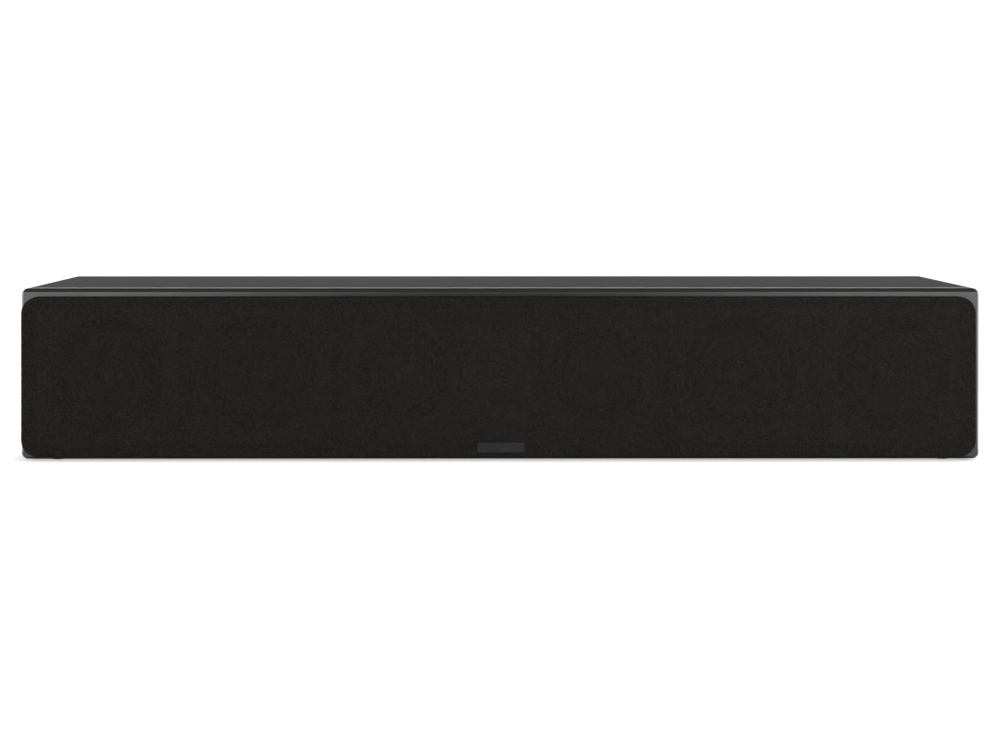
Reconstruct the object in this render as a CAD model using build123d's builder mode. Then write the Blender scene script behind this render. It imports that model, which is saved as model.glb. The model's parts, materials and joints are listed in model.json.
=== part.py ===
from build123d import *
import os
from collections import namedtuple
from math import asin, atan, cos, degrees, radians, sin

# Center channel speaker: a long low cabinet with four woofers, two midrange drivers, a pleated
# ribbon tweeter between them, and a cloth grille that magnets hold on the baffle.
# Millimetres. X runs along the cabinet, the front faces -Y and Z is up. The origin is in the middle
# of the footprint, on the surface that the feet stand on.

# Cabinet
cabinet_width = 1050.0
cabinet_height = 187.0
cabinet_depth = 305.0
edge_radius = 7.0
bevel_depth = 9.8
bevel_inset = 3.6
baffle_thickness = 25.0
panel_thickness = 18.0
rear_panel_inset = 3.0
partition_thickness = 12.0
foot_diameter = 13.0
foot_height = 3.0
foot_margin = 35.0

# Gaps between the flanges, from the cabinet's end to the tweeter: they share what the flanges leave
end_gap = 24.5
woofer_gap = 23.5
mid_gap = 25.0
tweeter_gap = 4.0

# Woofer
woofer_flange_diameter = 143.0
woofer_flange_thickness = 5.0
woofer_flange_width = 10.5
woofer_base_diameter = 88.0
woofer_base_depth = 46.0
woofer_roll_width = 9.6
woofer_cone_depth = 28.0
woofer_coil_diameter = 25.0
woofer_magnet_diameter = 90.0
woofer_magnet_thickness = 17.0
woofer_plate_thickness = 6.0
woofer_spider_depth = 38.0
woofer_travel = 5.0
woofer_cap_diameter = 38.0
woofer_cap_height = 10.0

# Midrange driver
mid_flange_diameter = 120.0
mid_flange_thickness = 4.5
mid_flange_width = 10.0
mid_base_diameter = 72.0
mid_base_depth = 34.0
mid_roll_width = 7.6
mid_cone_depth = 15.0
mid_coil_diameter = 20.0
mid_magnet_diameter = 76.0
mid_magnet_thickness = 14.0
mid_plate_thickness = 5.0
mid_spider_depth = 27.0
mid_travel = 2.5

# What both kinds of driver share
rebate_clearance = 0.25
rebate_chamfer = 1.2
cutout_clearance = 1.0
basket_wall = 2.5
basket_base = 4.0
spoke_width = 10.0
spoke_pairs = 3
window_margin = 3.0
seat_depth = 2.0
seat_width = 4.5
rubber_thickness = 1.2
lip_width = 4.0
cone_thickness = 1.2
cap_thickness = 0.8
glue_gap = 0.1
former_thickness = 0.4
coil_thickness = 0.8
coil_gap = 0.7
coil_overhang = 1.0
pole_vent_diameter = 8.0
plate_step = 2.0
spider_ledge = 5.0
ledge_thickness = 2.0
ledge_bite = 0.5
spider_thickness = 0.8
spider_wave = 1.6
spider_waves = 3

# Tweeter
tweeter_width = 84.0
tweeter_height = 104.0
tweeter_thickness = 5.0
tweeter_corner_radius = 6.0
flare_width = 46.0
flare_height = 60.0
flare_corner_radius = 8.0
aperture_width = 18.0
aperture_height = 32.0
aperture_corner_radius = 1.0
bar_thickness = 2.0
bar_height = 1.6
bar_count = 4
tweeter_motor_width = 58.0
tweeter_motor_height = 74.0
tweeter_motor_depth = 22.0
tweeter_chamber_width = 44.0
tweeter_chamber_height = 60.0
tweeter_chamber_depth = 14.0
pleat_count = 9
pleat_depth = 3.5
pleat_film = 0.35
pleat_recess = 5.0
diaphragm_clearance = 0.1

# Wood screws with cheese heads and hexagon sockets
screw_head_diameter = 6.4
screw_head_height = 2.0
screw_shank_diameter = 3.4
screw_length = 16.0
screw_clearance = 0.1
screw_socket = 2.9
screw_socket_depth = 1.3
driver_screws = 4
first_screw_angle = 45.0
tweeter_screw_margin = 7.0
cup_screw_margin = 7.0

# Grille
grille_end_margin = 5.1
grille_edge_margin = 6.3
grille_corner_radius = 21.0
grille_frame_thickness = 10.4
grille_shift_x = -2.1
grille_shift_z = -2.2
grille_rail = 12.0
grille_bar = 12.0
grille_edge_round = 1.2
cloth_thickness = 0.6
cloth_rim = 2.2
magnet_diameter = 10.0
magnet_thickness = 3.0
magnet_clearance = 0.1
magnet_skin = 3.0
badge_width = 51.7
badge_height = 11.0
badge_thickness = 1.2
badge_corner_radius = 1.2
badge_rim = 0.7
badge_recess = 0.4
badge_above_bottom = 14.7

# Ports
port_bore_diameter = 55.0
port_wall = 3.0
port_flare_radius = 10.0
port_length = 120.0
port_flange_diameter = 94.0
port_clearance = 0.5

# Terminals
cup_flange = 92.0
cup_corner_radius = 8.0
cup_recess = 62.0
cup_recess_radius = 6.0
cup_depth = 24.0
cup_wall = 2.5
cup_clearance = 0.5
mark_length = 7.0
mark_width = 1.6
mark_depth = 0.6
mark_above_posts = 17.0
post_spacing = 19.05
post_core_diameter = 6.0
post_bore_diameter = 4.0
post_bore_depth = 14.0
post_collar_diameter = 14.0
post_collar_thickness = 4.0
post_nut_diameter = 11.0
post_nut_thickness = 4.0
post_tail = 8.0
post_hole_clearance = 0.1
cap_diameter = 16.0
cap_length = 14.0
cap_seat_gap = 0.3
cap_running_clearance = 0.06
cap_flutes = 10
cap_flute_diameter = 2.4

# Crossover
board_width = 240.0
board_depth = 120.0
board_thickness = 2.0
board_standoff = 5.0
standoff_diameter = 8.0
board_margin = 10.0
board_behind_baffle = 90.0
coil_outer_diameter = 46.0
coil_inner_diameter = 20.0
coil_height = 22.0
coil_spacing = 58.0
coil_count = 4
capacitor_diameter = 22.0
capacitor_length = 44.0
capacitor_spacing = 52.0
capacitor_count = 4
component_row_offset = 28.0

# Worked-out places
grille_thickness = grille_frame_thickness + cloth_thickness
overall_depth = badge_thickness + grille_thickness + cabinet_depth
face_y = badge_thickness + grille_thickness - overall_depth / 2
back_y = face_y + cabinet_depth
sleeve_y = face_y + baffle_thickness
sleeve_depth = cabinet_depth - baffle_thickness
rear_face_y = back_y - rear_panel_inset
rear_inner_y = rear_face_y - panel_thickness
mid_z = foot_height + cabinet_height / 2
inner_width = cabinet_width - 2 * panel_thickness
inner_height = cabinet_height - 2 * panel_thickness
row_length = (cabinet_width - tweeter_width) / 2 - 2 * woofer_flange_diameter - mid_flange_diameter
row_scale = row_length / (end_gap + woofer_gap + mid_gap + tweeter_gap)
woofer_outer_x = cabinet_width / 2 - row_scale * end_gap - woofer_flange_diameter / 2
woofer_inner_x = woofer_outer_x - row_scale * woofer_gap - woofer_flange_diameter
mid_x = tweeter_width / 2 + row_scale * tweeter_gap + mid_flange_diameter / 2
woofer_centres = [-woofer_outer_x, -woofer_inner_x, woofer_inner_x, woofer_outer_x]
mid_centres = [-mid_x, mid_x]
woofer_gap_x = (woofer_outer_x + woofer_inner_x) / 2
mid_gap_x = (woofer_inner_x - woofer_flange_diameter / 2 + mid_x + mid_flange_diameter / 2) / 2
grille_width = cabinet_width - 2 * grille_end_margin
grille_height = cabinet_height - 2 * grille_edge_margin
grille_x = grille_shift_x
grille_z = mid_z + grille_shift_z
bar_places = [-woofer_gap_x, -mid_gap_x, mid_gap_x, woofer_gap_x]
magnet_row_z = (grille_height - grille_rail) / 2
magnet_places = [(x, z) for x in bar_places for z in (-magnet_row_z, magnet_row_z)]
screw_hole_diameter = screw_shank_diameter + 2 * screw_clearance
screw_recess_diameter = screw_head_diameter + 2 * screw_clearance
post_places = [-post_spacing / 2, post_spacing / 2]
cup_outer = cup_recess + 2 * cup_wall
cup_floor_y = rear_face_y - cup_depth

os.makedirs("parts", exist_ok=True)

Driver = namedtuple(
    "Driver",
    "flange_r flange_t basket_r base_r base_depth roll_width cone_depth coil_r"
    " magnet_r magnet_t plate_t spider_depth travel",
)
woofer = Driver(
    flange_r=woofer_flange_diameter / 2,
    flange_t=woofer_flange_thickness,
    basket_r=woofer_flange_diameter / 2 - woofer_flange_width,
    base_r=woofer_base_diameter / 2,
    base_depth=woofer_base_depth,
    roll_width=woofer_roll_width,
    cone_depth=woofer_cone_depth,
    coil_r=woofer_coil_diameter / 2,
    magnet_r=woofer_magnet_diameter / 2,
    magnet_t=woofer_magnet_thickness,
    plate_t=woofer_plate_thickness,
    spider_depth=woofer_spider_depth,
    travel=woofer_travel,
)
mid = Driver(
    flange_r=mid_flange_diameter / 2,
    flange_t=mid_flange_thickness,
    basket_r=mid_flange_diameter / 2 - mid_flange_width,
    base_r=mid_base_diameter / 2,
    base_depth=mid_base_depth,
    roll_width=mid_roll_width,
    cone_depth=mid_cone_depth,
    coil_r=mid_coil_diameter / 2,
    magnet_r=mid_magnet_diameter / 2,
    magnet_t=mid_magnet_thickness,
    plate_t=mid_plate_thickness,
    spider_depth=mid_spider_depth,
    travel=mid_travel,
)


def save(piece, name):
    """Labels a finished piece and writes its file."""
    piece.part.label = name
    export_step(piece.part, f"parts/{name}.step")


def upright(y, x=0.0, z=mid_z):
    """A plane that faces forward: sketch x runs across and y up, and extrude goes forward."""
    return Plane(origin=(x, y, z), x_dir=(1, 0, 0), z_dir=(0, -1, 0))


def radial_front(x):
    """A plane for turned driver pieces: sketch x is the radius, y the depth behind the baffle face."""
    return Plane(origin=(x, face_y, mid_z), x_dir=(1, 0, 0), z_dir=(0, 0, 1))


def radial_rear(x):
    """A plane for turned pieces on the back: x is the radius, y the depth inside the rear face."""
    return Plane(origin=(x, rear_face_y, mid_z), x_dir=(1, 0, 0), z_dir=(0, 0, -1))


def front_back_axis(x):
    return Axis((x, 0, mid_z), (0, 1, 0))


# Radii and depths that a driver's pieces share
def throat_r(d):
    return d.basket_r - basket_wall


def rim_r(d):
    """The cone's outer radius, at the inner foot of the half roll."""
    return throat_r(d) - d.roll_width


def bolt_r(d):
    return (throat_r(d) + seat_width + d.flange_r) / 2


def basket_rear(d):
    return d.base_depth + basket_base


def inner_wall_r(d, depth):
    """The inner radius of the basket's sloping wall at a depth."""
    run = (depth - d.flange_t) / (d.base_depth - d.flange_t)
    return throat_r(d) + run * (d.base_r - basket_wall - throat_r(d))


def cone_front(d, r):
    """Depth of a straight cone's front surface at a radius."""
    run = (rim_r(d) - lip_width - r) / (rim_r(d) - lip_width - d.coil_r)
    return seat_depth + run * d.cone_depth


def coil_middle(d):
    return basket_rear(d) + d.plate_t / 2


def coil_half(d):
    return d.plate_t / 2 + d.travel + coil_overhang


def round_places(d, x):
    """Where a round driver's screws stand, evenly about its axis, across and up from the middle."""
    angles = [radians(first_screw_angle + i * 360 / driver_screws) for i in range(driver_screws)]
    return [(x + bolt_r(d) * cos(a), bolt_r(d) * sin(a)) for a in angles]


def make_basket(d, x):
    """Cast basket: a flange with a seat for the roll, spokes, a ledge for the spider and a base."""
    seat_r = throat_r(d) + seat_width
    base_hole_r = d.coil_r + coil_thickness + 2 * coil_gap
    ledge_outer = inner_wall_r(d, d.spider_depth) + ledge_bite
    ledge_inner = inner_wall_r(d, d.spider_depth) - spider_ledge
    window_start = d.flange_t + window_margin
    window_end = d.spider_depth - window_margin
    with BuildPart() as basket:
        with BuildSketch(radial_front(x)):
            with BuildLine():
                Polyline(
                    (throat_r(d), seat_depth),
                    (seat_r, seat_depth),
                    (seat_r, 0),
                    (d.flange_r, 0),
                    (d.flange_r, d.flange_t),
                    (d.basket_r, d.flange_t),
                    (d.base_r, basket_rear(d)),
                    (base_hole_r, basket_rear(d)),
                    (base_hole_r, d.base_depth),
                    (d.base_r - basket_wall, d.base_depth),
                    (throat_r(d), d.flange_t),
                    close=True,
                )
            make_face()
            with Locations(((ledge_inner + ledge_outer) / 2, d.spider_depth + ledge_thickness / 2)):
                Rectangle(ledge_outer - ledge_inner, ledge_thickness)
        revolve(axis=front_back_axis(x))
        with BuildSketch(upright(face_y + window_end, x)):
            Circle(d.basket_r)
            with PolarLocations(0, spoke_pairs, angular_range=180):
                Rectangle(3 * d.basket_r, spoke_width, mode=Mode.SUBTRACT)
        extrude(amount=window_end - window_start, mode=Mode.SUBTRACT)
        with BuildSketch(upright(face_y, x)):
            with Locations(*round_places(d, 0)):
                Circle(screw_recess_diameter / 2)
        extrude(amount=-screw_head_height, mode=Mode.SUBTRACT)
        with BuildSketch(upright(face_y, x)):
            with Locations(*round_places(d, 0)):
                Circle(screw_hole_diameter / 2)
        extrude(amount=-d.flange_t, mode=Mode.SUBTRACT)
    return basket


def make_motor(d, x):
    """Magnet system: front plate, ring magnet, and a back plate with its vented pole."""
    front = basket_rear(d)
    magnet_front = front + d.plate_t
    magnet_back = magnet_front + d.magnet_t
    back = magnet_back + d.plate_t
    vent_r = pole_vent_diameter / 2
    pole_r = d.coil_r - coil_gap
    gap_r = d.coil_r + coil_thickness + coil_gap
    magnet_bore_r = gap_r + 2 * plate_step
    plate_r = d.magnet_r - plate_step
    with BuildPart() as motor:
        with BuildSketch(radial_front(x)):
            with BuildLine():
                Polyline(
                    (vent_r, front),
                    (pole_r, front),
                    (pole_r, magnet_back),
                    (magnet_bore_r, magnet_back),
                    (magnet_bore_r, magnet_front),
                    (gap_r, magnet_front),
                    (gap_r, front),
                    (plate_r, front),
                    (plate_r, magnet_front),
                    (d.magnet_r, magnet_front),
                    (d.magnet_r, magnet_back),
                    (plate_r, magnet_back),
                    (plate_r, back),
                    (vent_r, back),
                    close=True,
                )
            make_face()
        revolve(axis=front_back_axis(x))
    return motor


def draw_former(d, start):
    """Section of the coil former and the coil wound on it, from a depth inside the cone wall."""
    end = coil_middle(d) + coil_half(d)
    with Locations((d.coil_r + former_thickness / 2, (start + end) / 2)):
        Rectangle(former_thickness, end - start)
    with Locations((d.coil_r + coil_thickness / 2, coil_middle(d))):
        Rectangle(coil_thickness, 2 * coil_half(d))


def make_straight_cone(d, x):
    """Straight-sided cone with a flat rim for the roll, its coil former and coil."""
    neck = cone_front(d, d.coil_r)
    land_r = rim_r(d) - lip_width
    with BuildPart() as cone:
        with BuildSketch(radial_front(x)):
            with BuildLine():
                Polyline(
                    (rim_r(d), seat_depth),
                    (land_r, seat_depth),
                    (d.coil_r, neck),
                    (d.coil_r, neck + cone_thickness),
                    (land_r, seat_depth + cone_thickness),
                    (rim_r(d), seat_depth + cone_thickness),
                    close=True,
                )
            make_face()
            draw_former(d, neck)
        revolve(axis=front_back_axis(x))
    return cone


def dish_centre(d):
    """Depth of the middle of the sphere that a dished cone's front follows, and its radius."""
    land_r = rim_r(d) - lip_width
    radius = (land_r**2 + d.cone_depth**2) / (2 * d.cone_depth)
    return seat_depth + d.cone_depth - radius, radius


def make_dished_cone(d, x):
    """One-piece dish with a flat rim, closed across the middle, on its coil former and coil."""
    land_r = rim_r(d) - lip_width
    middle, radius = dish_centre(d)
    swing = degrees(asin(land_r / radius))
    former_start = middle + (radius**2 - d.coil_r**2) ** 0.5 + cone_thickness / 2
    with BuildPart() as cone:
        with BuildSketch(radial_front(x)):
            with BuildLine():
                front = CenterArc((0, middle), radius, 90 - swing, swing)
                back = CenterArc((0, middle + cone_thickness), radius, 90 - swing, swing)
                Line(front @ 1, back @ 1)
                Polyline(
                    front @ 0,
                    (rim_r(d), seat_depth),
                    (rim_r(d), seat_depth + cone_thickness),
                    back @ 0,
                )
            make_face()
            draw_former(d, former_start)
        revolve(axis=front_back_axis(x))
    return cone


def make_dust_cap(d, x):
    """Domed cap glued over the neck of a straight cone."""
    cap_r = woofer_cap_diameter / 2
    radius = (cap_r**2 + woofer_cap_height**2) / (2 * woofer_cap_height)
    swing = degrees(asin(cap_r / radius))
    middle = cone_front(d, cap_r) - glue_gap - woofer_cap_height + radius
    with BuildPart() as cap:
        with BuildSketch(radial_front(x)):
            with BuildLine():
                outer = CenterArc((0, middle), radius, -90, swing)
                inner = CenterArc((0, middle), radius - cap_thickness, -90, swing)
                Line(outer @ 0, inner @ 0)
                Line(outer @ 1, inner @ 1)
            make_face()
        revolve(axis=front_back_axis(x))
    return cap


def make_surround(d, x):
    """Rubber half roll between two flat lips, on the cone's rim and on the basket's seat."""
    front = seat_depth - rubber_thickness
    roll_r = d.roll_width / 2
    roll_middle = (rim_r(d) + throat_r(d)) / 2
    inside_r = roll_r - rubber_thickness
    with BuildPart() as surround:
        with BuildSketch(radial_front(x)):
            with BuildLine():
                outside = CenterArc((roll_middle, front), roll_r, 180, 180)
                inside = CenterArc((roll_middle, front), inside_r, 180, 180)
                Polyline(
                    outside @ 0,
                    (rim_r(d) - lip_width, front),
                    (rim_r(d) - lip_width, seat_depth),
                    (roll_middle - inside_r, seat_depth),
                    inside @ 0,
                )
                Polyline(
                    outside @ 1,
                    (throat_r(d) + lip_width, front),
                    (throat_r(d) + lip_width, seat_depth),
                    (roll_middle + inside_r, seat_depth),
                    inside @ 1,
                )
            make_face()
        revolve(axis=front_back_axis(x))
    return surround


def make_spider(d, x):
    """Corrugated cloth disc that centres the coil, from the basket's ledge to the coil former."""
    outer_r = inner_wall_r(d, d.spider_depth) - glue_gap
    wave_outer = outer_r - spider_ledge
    wave_inner = d.coil_r + former_thickness + glue_gap
    crests = 2 * spider_waves
    step = (wave_outer - wave_inner) / crests
    wave = [(wave_outer - i * step, d.spider_depth - (i % 2) * spider_wave) for i in range(crests + 1)]
    back = [(outer_r - basket_wall, d.spider_depth)] + wave
    front = [(r, depth - spider_thickness) for r, depth in reversed(back)]
    with BuildPart() as spider:
        with BuildSketch(radial_front(x)):
            with BuildLine():
                Polyline(*back, *front, close=True)
            make_face()
        revolve(axis=front_back_axis(x))
    return spider


def corner_places(width, height):
    return [(i * width / 2, j * height / 2) for i in (-1, 1) for j in (-1, 1)]


tweeter_screws = corner_places(
    tweeter_width - 2 * tweeter_screw_margin, tweeter_height - 2 * tweeter_screw_margin
)
cup_screws = corner_places(cup_flange - 2 * cup_screw_margin, cup_flange - 2 * cup_screw_margin)
front_screws = list(tweeter_screws)
front_screws += [place for x in woofer_centres for place in round_places(woofer, x)]
front_screws += [place for x in mid_centres for place in round_places(mid, x)]

# Front baffle
with BuildPart() as front_baffle:
    with BuildSketch(upright(face_y + bevel_depth)):
        RectangleRounded(cabinet_width, cabinet_height, edge_radius)
    extrude(amount=-(baffle_thickness - bevel_depth))
    with BuildSketch(upright(face_y + bevel_depth)):
        RectangleRounded(cabinet_width, cabinet_height, edge_radius)
    extrude(amount=bevel_depth, taper=degrees(atan(bevel_inset / bevel_depth)))
    for d, centres in ((woofer, woofer_centres), (mid, mid_centres)):
        with BuildSketch(upright(face_y)):
            with Locations(*[(x, 0) for x in centres]):
                Circle(d.flange_r + rebate_clearance)
        extrude(amount=-d.flange_t, mode=Mode.SUBTRACT)
        with BuildSketch(upright(face_y)):
            with Locations(*[(x, 0) for x in centres]):
                Circle(d.flange_r + rebate_clearance + rebate_chamfer)
        extrude(amount=-rebate_chamfer, taper=45, mode=Mode.SUBTRACT)
        with BuildSketch(upright(face_y)):
            with Locations(*[(x, 0) for x in centres]):
                Circle(d.basket_r + cutout_clearance)
        extrude(amount=-baffle_thickness, mode=Mode.SUBTRACT)
    with BuildSketch(upright(face_y)):
        RectangleRounded(
            tweeter_width + 2 * rebate_clearance,
            tweeter_height + 2 * rebate_clearance,
            tweeter_corner_radius + rebate_clearance,
        )
    extrude(amount=-tweeter_thickness, mode=Mode.SUBTRACT)
    with BuildSketch(upright(face_y)):
        RectangleRounded(
            tweeter_width + 2 * (rebate_clearance + rebate_chamfer),
            tweeter_height + 2 * (rebate_clearance + rebate_chamfer),
            tweeter_corner_radius + rebate_clearance + rebate_chamfer,
        )
    extrude(amount=-rebate_chamfer, taper=45, mode=Mode.SUBTRACT)
    with BuildSketch(upright(face_y)):
        Rectangle(
            tweeter_motor_width + 2 * cutout_clearance, tweeter_motor_height + 2 * cutout_clearance
        )
    extrude(amount=-baffle_thickness, mode=Mode.SUBTRACT)
    with BuildSketch(upright(face_y)):
        with Locations(*front_screws):
            Circle(screw_hole_diameter / 2)
    extrude(amount=-(screw_head_height + screw_length + screw_clearance), mode=Mode.SUBTRACT)
    with BuildSketch(upright(sleeve_y, 0, grille_z)):
        with Locations(*magnet_places):
            Circle(magnet_diameter / 2 + magnet_clearance)
    extrude(amount=baffle_thickness - magnet_skin, mode=Mode.SUBTRACT)
save(front_baffle, "front_baffle")

# Sleeve of four panels behind the baffle
for name, side in (("top_panel", 1), ("bottom_panel", -1)):
    with BuildPart() as lengthwise_panel:
        with BuildSketch(upright(sleeve_y)):
            RectangleRounded(cabinet_width, cabinet_height, edge_radius)
            with Locations((0, side * (cabinet_height - panel_thickness) / 2)):
                Rectangle(cabinet_width, panel_thickness, mode=Mode.INTERSECT)
        extrude(amount=-sleeve_depth)
    save(lengthwise_panel, name)

for name, side in (("left_side_panel", -1), ("right_side_panel", 1)):
    with BuildPart() as side_panel:
        with BuildSketch(upright(sleeve_y, side * (cabinet_width - panel_thickness) / 2)):
            Rectangle(panel_thickness, inner_height)
        extrude(amount=-sleeve_depth)
    save(side_panel, name)

for name, side in (("left_partition", -1), ("right_partition", 1)):
    with BuildPart() as partition:
        with BuildSketch(upright(sleeve_y, side * mid_gap_x)):
            Rectangle(partition_thickness, inner_height)
        extrude(amount=-(rear_inner_y - sleeve_y))
    save(partition, name)

# Rear panel with holes for the ports and the terminal cup
with BuildPart() as rear_panel:
    with BuildSketch(upright(rear_inner_y)):
        Rectangle(inner_width, inner_height)
        with Locations((-woofer_gap_x, 0), (woofer_gap_x, 0)):
            Circle(
                port_bore_diameter / 2 + port_flare_radius + port_wall + port_clearance,
                mode=Mode.SUBTRACT,
            )
        RectangleRounded(
            cup_outer + 2 * cup_clearance,
            cup_outer + 2 * cup_clearance,
            cup_recess_radius + cup_wall,
            mode=Mode.SUBTRACT,
        )
    extrude(amount=-panel_thickness)
    with BuildSketch(upright(rear_face_y)):
        with Locations(*cup_screws):
            Circle(screw_hole_diameter / 2)
    extrude(amount=screw_head_height + screw_length - rear_panel_inset + screw_clearance, mode=Mode.SUBTRACT)
save(rear_panel, "rear_panel")

# Four rubber feet under the bottom panel
with BuildPart() as rubber_feet:
    with BuildSketch(Plane.XY):
        for x in (-cabinet_width / 2 + foot_margin, cabinet_width / 2 - foot_margin):
            with Locations((x, face_y + foot_margin), (x, back_y - foot_margin)):
                Circle(foot_diameter / 2)
    extrude(amount=foot_height)
save(rubber_feet, "rubber_feet")

# Round drivers
for i, x in enumerate(woofer_centres, start=1):
    save(make_basket(woofer, x), f"woofer_{i}_frame")
    save(make_motor(woofer, x), f"woofer_{i}_motor")
    save(make_straight_cone(woofer, x), f"woofer_{i}_cone")
    save(make_dust_cap(woofer, x), f"woofer_{i}_dust_cap")
    save(make_surround(woofer, x), f"woofer_{i}_surround")
    save(make_spider(woofer, x), f"woofer_{i}_spider")

for i, x in enumerate(mid_centres, start=1):
    save(make_basket(mid, x), f"mid_{i}_frame")
    save(make_motor(mid, x), f"mid_{i}_motor")
    save(make_dished_cone(mid, x), f"mid_{i}_cone")
    save(make_surround(mid, x), f"mid_{i}_surround")
    save(make_spider(mid, x), f"mid_{i}_spider")

# Tweeter: flared faceplate with bars across its mouth, motor block and pleated film
with BuildPart() as tweeter_faceplate:
    with BuildSketch(upright(face_y)):
        RectangleRounded(tweeter_width, tweeter_height, tweeter_corner_radius)
    extrude(amount=-tweeter_thickness)
    with BuildSketch(upright(face_y)):
        RectangleRounded(flare_width, flare_height, flare_corner_radius)
    with BuildSketch(upright(face_y + tweeter_thickness - bar_thickness)):
        RectangleRounded(aperture_width, aperture_height, aperture_corner_radius)
    loft(mode=Mode.SUBTRACT)
    with BuildSketch(upright(face_y + tweeter_thickness)):
        RectangleRounded(aperture_width, aperture_height, aperture_corner_radius)
        with GridLocations(0, aperture_height / (bar_count + 1), 1, bar_count):
            Rectangle(2 * aperture_width, bar_height, mode=Mode.SUBTRACT)
    extrude(amount=bar_thickness, mode=Mode.SUBTRACT)
    with BuildSketch(upright(face_y)):
        with Locations(*tweeter_screws):
            Circle(screw_recess_diameter / 2)
    extrude(amount=-screw_head_height, mode=Mode.SUBTRACT)
    with BuildSketch(upright(face_y)):
        with Locations(*tweeter_screws):
            Circle(screw_hole_diameter / 2)
    extrude(amount=-tweeter_thickness, mode=Mode.SUBTRACT)
save(tweeter_faceplate, "tweeter_faceplate")

motor_front_y = face_y + tweeter_thickness
with BuildPart() as tweeter_motor:
    with BuildSketch(upright(motor_front_y)):
        Rectangle(tweeter_motor_width, tweeter_motor_height)
    extrude(amount=-tweeter_motor_depth)
    with BuildSketch(upright(motor_front_y + tweeter_motor_depth)):
        Rectangle(tweeter_chamber_width, tweeter_chamber_height)
    extrude(amount=-tweeter_chamber_depth)
    with BuildSketch(upright(motor_front_y)):
        Rectangle(
            aperture_width + 2 * diaphragm_clearance, aperture_height + 2 * diaphragm_clearance
        )
    extrude(amount=-pleat_recess, mode=Mode.SUBTRACT)
save(tweeter_motor, "tweeter_motor")

pleat_pitch = aperture_height / (2 * pleat_count)
pleat_front_y = motor_front_y + (pleat_recess - pleat_depth - pleat_film) / 2
pleat_front = [
    (pleat_front_y + (i % 2) * pleat_depth, mid_z - aperture_height / 2 + i * pleat_pitch)
    for i in range(2 * pleat_count + 1)
]
pleat_back = [(y + pleat_film, z) for y, z in reversed(pleat_front)]
with BuildPart() as tweeter_diaphragm:
    with BuildSketch(Plane.YZ.offset(-aperture_width / 2)):
        with BuildLine():
            Polyline(*pleat_front, *pleat_back, close=True)
        make_face()
    extrude(amount=aperture_width)
save(tweeter_diaphragm, "tweeter_diaphragm")

# Ports: flared mouth on the back and a straight tube inside
port_r = port_bore_diameter / 2
mouth_r = port_r + port_flare_radius
for name, side in (("left_port_tube", -1), ("right_port_tube", 1)):
    x = side * woofer_gap_x
    with BuildPart() as port_tube:
        with BuildSketch(radial_rear(x)):
            with BuildLine():
                inside = CenterArc((mouth_r, port_flare_radius - rear_panel_inset), port_flare_radius, 270, -90)
                outside = CenterArc((mouth_r + port_wall, port_flare_radius), port_flare_radius, 270, -90)
                Polyline(
                    inside @ 0,
                    (port_flange_diameter / 2, -rear_panel_inset),
                    (port_flange_diameter / 2, 0),
                    outside @ 0,
                )
                Polyline(inside @ 1, (port_r, port_length), (port_r + port_wall, port_length), outside @ 1)
            make_face()
        revolve(axis=front_back_axis(x))
    save(port_tube, name)

# Terminal cup with a plus and a minus sunk in its floor, its binding posts and their screw caps
with BuildPart() as terminal_cup:
    with BuildSketch(upright(rear_face_y)):
        RectangleRounded(cup_flange, cup_flange, cup_corner_radius)
    extrude(amount=-rear_panel_inset)
    with BuildSketch(upright(rear_face_y)):
        RectangleRounded(cup_outer, cup_outer, cup_recess_radius + cup_wall)
    extrude(amount=cup_depth + cup_wall)
    with BuildSketch(upright(back_y)):
        RectangleRounded(cup_recess, cup_recess, cup_recess_radius)
    extrude(amount=cup_depth + rear_panel_inset, mode=Mode.SUBTRACT)
    with BuildSketch(upright(cup_floor_y)):
        with Locations(*[(x, 0) for x in post_places]):
            Circle(post_core_diameter / 2 + post_hole_clearance)
    extrude(amount=cup_wall, mode=Mode.SUBTRACT)
    with BuildSketch(upright(back_y)):
        with Locations(*cup_screws):
            Circle(screw_hole_diameter / 2)
    extrude(amount=rear_panel_inset, mode=Mode.SUBTRACT)
    with BuildSketch(upright(back_y)):
        with Locations(*cup_screws):
            Circle(screw_recess_diameter / 2)
    extrude(amount=screw_head_height, mode=Mode.SUBTRACT)
    with BuildSketch(upright(cup_floor_y)):
        with Locations(*[(x, mark_above_posts) for x in post_places]):
            Rectangle(mark_length, mark_width)
        with Locations((post_places[1], mark_above_posts)):
            Rectangle(mark_width, mark_length)
    extrude(amount=mark_depth, mode=Mode.SUBTRACT)
save(terminal_cup, "terminal_cup")

collar_y = cup_floor_y + post_collar_thickness
cap_y = collar_y + cap_seat_gap
with BuildPart() as binding_posts:
    for x in post_places:
        with BuildSketch(upright(cup_floor_y, x)):
            Circle(post_collar_diameter / 2)
        extrude(amount=-post_collar_thickness)
        with BuildSketch(upright(cup_floor_y - cup_wall, x)):
            RegularPolygon(post_nut_diameter / 2, 6)
        extrude(amount=post_nut_thickness)
        with BuildSketch(upright(cap_y + cap_length, x)):
            Circle(post_core_diameter / 2)
        extrude(amount=cap_length + cap_seat_gap + post_collar_thickness + cup_wall + post_tail)
        with BuildSketch(upright(cap_y + cap_length, x)):
            Circle(post_bore_diameter / 2)
        extrude(amount=post_bore_depth, mode=Mode.SUBTRACT)
save(binding_posts, "binding_posts")

for name, x in (("red_post_cap", post_places[1]), ("black_post_cap", post_places[0])):
    with BuildPart() as post_cap:
        with BuildSketch(upright(cap_y, x)):
            Circle(cap_diameter / 2)
            Circle(post_core_diameter / 2 + cap_running_clearance, mode=Mode.SUBTRACT)
            with PolarLocations(cap_diameter / 2, cap_flutes):
                Circle(cap_flute_diameter / 2, mode=Mode.SUBTRACT)
        extrude(amount=-cap_length)
    save(post_cap, name)

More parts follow.
